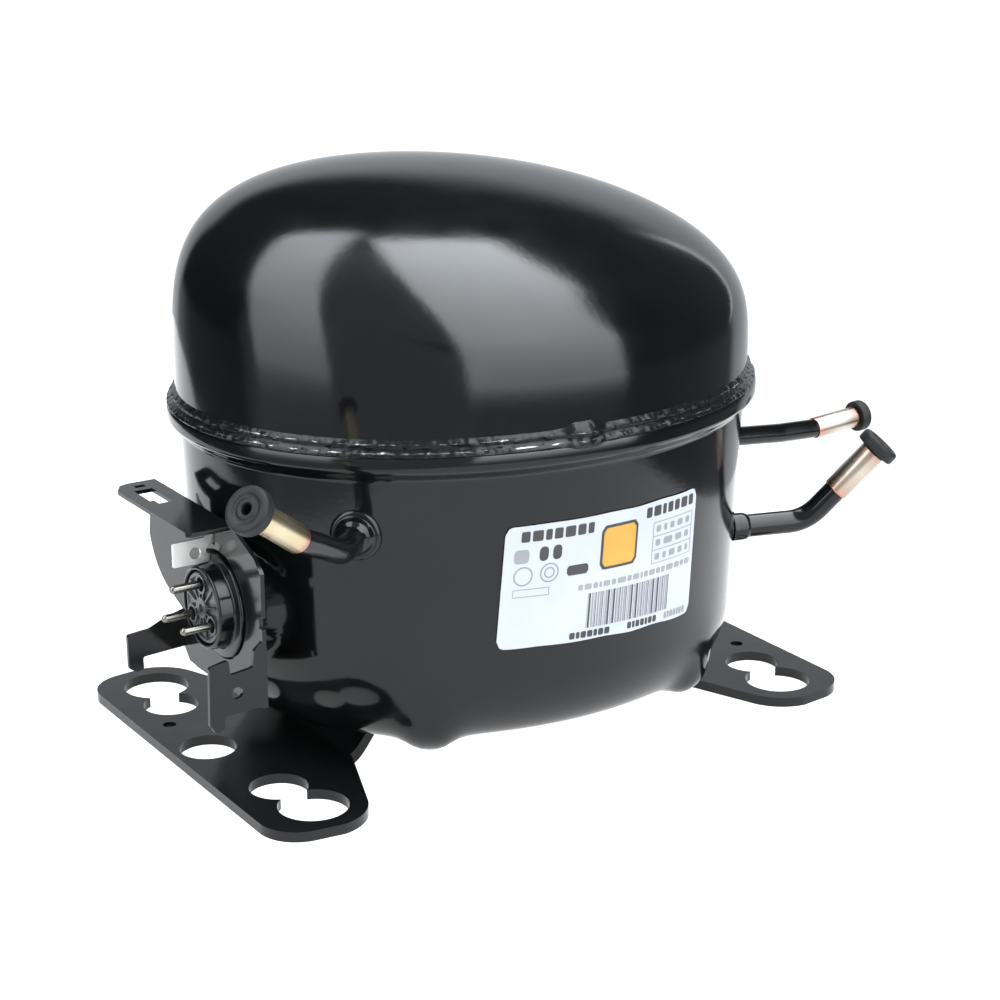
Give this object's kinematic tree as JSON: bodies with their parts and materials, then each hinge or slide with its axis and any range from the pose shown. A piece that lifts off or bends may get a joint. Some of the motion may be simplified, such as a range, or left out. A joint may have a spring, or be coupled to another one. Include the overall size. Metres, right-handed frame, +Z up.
{
  "type": "hermetic reciprocating compressor",
  "caption": "Welded steel shell on two slotted feet with terminal bracket, capped tubes and label, and a sprung motor with crank, yoke piston and reed valves inside.",
  "frame": {"origin": "middle of the whole part's footprint, in the plane of the feet's undersides; the mounting-hole pattern's centre lies at x -14.7 mm, y 3.5 mm", "axes": "+X from the terminal end to the suction end, +Y away from the label, +Z up"},
  "size_m": [0.2622, 0.1572, 0.1641],
  "materials": {
    "black_enamel": "gloss black baked enamel",
    "painted_weld": "rough weld seam under black enamel, silvery where rubbed",
    "zinc_plate": "zinc plated",
    "bright_sleeve": "pale gold plated sleeve, satin",
    "cap_rubber": "matt black rubber",
    "grey_insulator": "grey moulded face of the terminal",
    "label_film": "white printed film",
    "machined_steel": "ground steel",
    "grey_iron": "machined grey iron",
    "laminated_steel": "stacked electrical sheet",
    "rotor_metal": "die cast end rings on a laminated core",
    "enamelled_copper": "enamelled winding wire",
    "lead_sleeving": "woven sleeving",
    "gasket_sheet": "pressed gasket sheet",
    "moulded_plastic": "natural moulded plastic"
  },
  "bodies": {
    "shell": {"lower_shell": "black_enamel", "upper_shell": "black_enamel", "weld_bead": "painted_weld", "base_plate_left": "black_enamel", "base_plate_right": "black_enamel", "terminal_bracket": "black_enamel", "earth_tab": "zinc_plate", "terminal_cup": "black_enamel", "terminal_disc": "grey_insulator", "terminal_pin_1": "machined_steel", "terminal_pin_2": "machined_steel", "terminal_pin_3": "machined_steel", "terminal_plug": "moulded_plastic", "discharge_tube": "black_enamel", "discharge_sleeve": "bright_sleeve", "discharge_braze_ring": "black_enamel", "suction_tube": "black_enamel", "suction_sleeve": "bright_sleeve", "suction_braze_ring": "black_enamel", "process_tube": "black_enamel", "process_sleeve": "bright_sleeve", "process_braze_ring": "black_enamel", "label": "label_film", "spring_seat_lower_1": "moulded_plastic", "spring_seat_lower_2": "moulded_plastic", "spring_seat_lower_3": "moulded_plastic", "spring_seat_lower_4": "moulded_plastic", "spring_1": "machined_steel", "spring_2": "machined_steel", "spring_3": "machined_steel", "spring_4": "machined_steel", "discharge_loop": "machined_steel", "motor_leads": "lead_sleeving"},
    "pump": {"stator_core": "laminated_steel", "stator_winding": "enamelled_copper", "cylinder_block": "grey_iron", "cylinder_gasket": "gasket_sheet", "valve_plate": "machined_steel", "cylinder_head": "grey_iron", "head_screw_1": "machined_steel", "head_screw_2": "machined_steel", "head_screw_3": "machined_steel", "head_screw_4": "machined_steel", "suction_muffler": "moulded_plastic", "spring_seat_upper_1": "moulded_plastic", "spring_seat_upper_2": "moulded_plastic", "spring_seat_upper_3": "moulded_plastic", "spring_seat_upper_4": "moulded_plastic"},
    "crank": {"crankshaft": "grey_iron", "rotor": "rotor_metal", "oil_pickup": "machined_steel"},
    "gallery_plug": {"oil_gallery_plug": "machined_steel"},
    "piston": {"piston": "grey_iron"},
    "slide_block": {"slide_block": "grey_iron"},
    "suction_reed": {"suction_reed": "machined_steel"},
    "discharge_reed": {"discharge_reed": "machined_steel"},
    "discharge_cap": {"discharge_cap": "cap_rubber"},
    "suction_cap": {"suction_cap": "cap_rubber"},
    "process_cap": {"process_cap": "cap_rubber"}
  },
  "joints": [
    {"name": "pump_bounce", "type": "slide", "parent": "shell", "child": "pump", "axis": [0, 0, 1], "range_m": [-0.003, 0.003], "stiffness_N_per_m": 20000, "springref_m": 0.00183, "deforming": ["spring_1", "spring_2", "spring_3", "spring_4", "discharge_loop", "motor_leads"]},
    {"name": "crank_spin", "type": "hinge", "parent": "pump", "child": "crank", "pos_m": [-0.0147, 0.0035, 0.06], "axis": [0, 0, 1], "continuous": true},
    {"name": "gallery_plug_turn", "type": "hinge", "parent": "crank", "child": "gallery_plug", "pos_m": [-0.0107, 0.0035, 0.035], "axis": [0, 0, 1], "continuous": true},
    {"name": "piston_travel", "type": "hinge", "parent": "gallery_plug", "child": "piston", "pos_m": [-0.0067, 0.0035, 0.119], "axis": [0, 0, 1], "continuous": true},
    {"name": "slide_block_turn", "type": "hinge", "parent": "crank", "child": "slide_block", "pos_m": [-0.0067, 0.0035, 0.119], "axis": [0, 0, 1], "continuous": true},
    {"name": "suction_reed_flex", "type": "hinge", "parent": "pump", "child": "suction_reed", "pos_m": [0.0323, -0.0015, 0.1275], "axis": [0, 1, 0], "range_deg": [0, 1.5], "stiffness_Nm_per_rad": 0.05},
    {"name": "discharge_reed_flex", "type": "hinge", "parent": "pump", "child": "discharge_reed", "pos_m": [0.0364, 0.0085, 0.1275], "axis": [0, -1, 0], "range_deg": [0, 4], "stiffness_Nm_per_rad": 0.05},
    {"name": "discharge_cap_pull", "type": "slide", "parent": "shell", "child": "discharge_cap", "axis": [-0.761, -0.3171, 0.5659], "range_m": [0, 0.02]},
    {"name": "suction_cap_pull", "type": "slide", "parent": "shell", "child": "suction_cap", "axis": [0.5615, -0.3606, 0.7448], "range_m": [0, 0.02]},
    {"name": "process_cap_pull", "type": "slide", "parent": "shell", "child": "process_cap", "axis": [0.9975, 0, 0.07], "range_m": [0, 0.02]}
  ],
  "couplings": [
    {"joint": "gallery_plug_turn", "follows": "crank_spin", "ratio": -2},
    {"joint": "piston_travel", "follows": "crank_spin", "ratio": 1},
    {"joint": "slide_block_turn", "follows": "crank_spin", "ratio": -1}
  ]
}
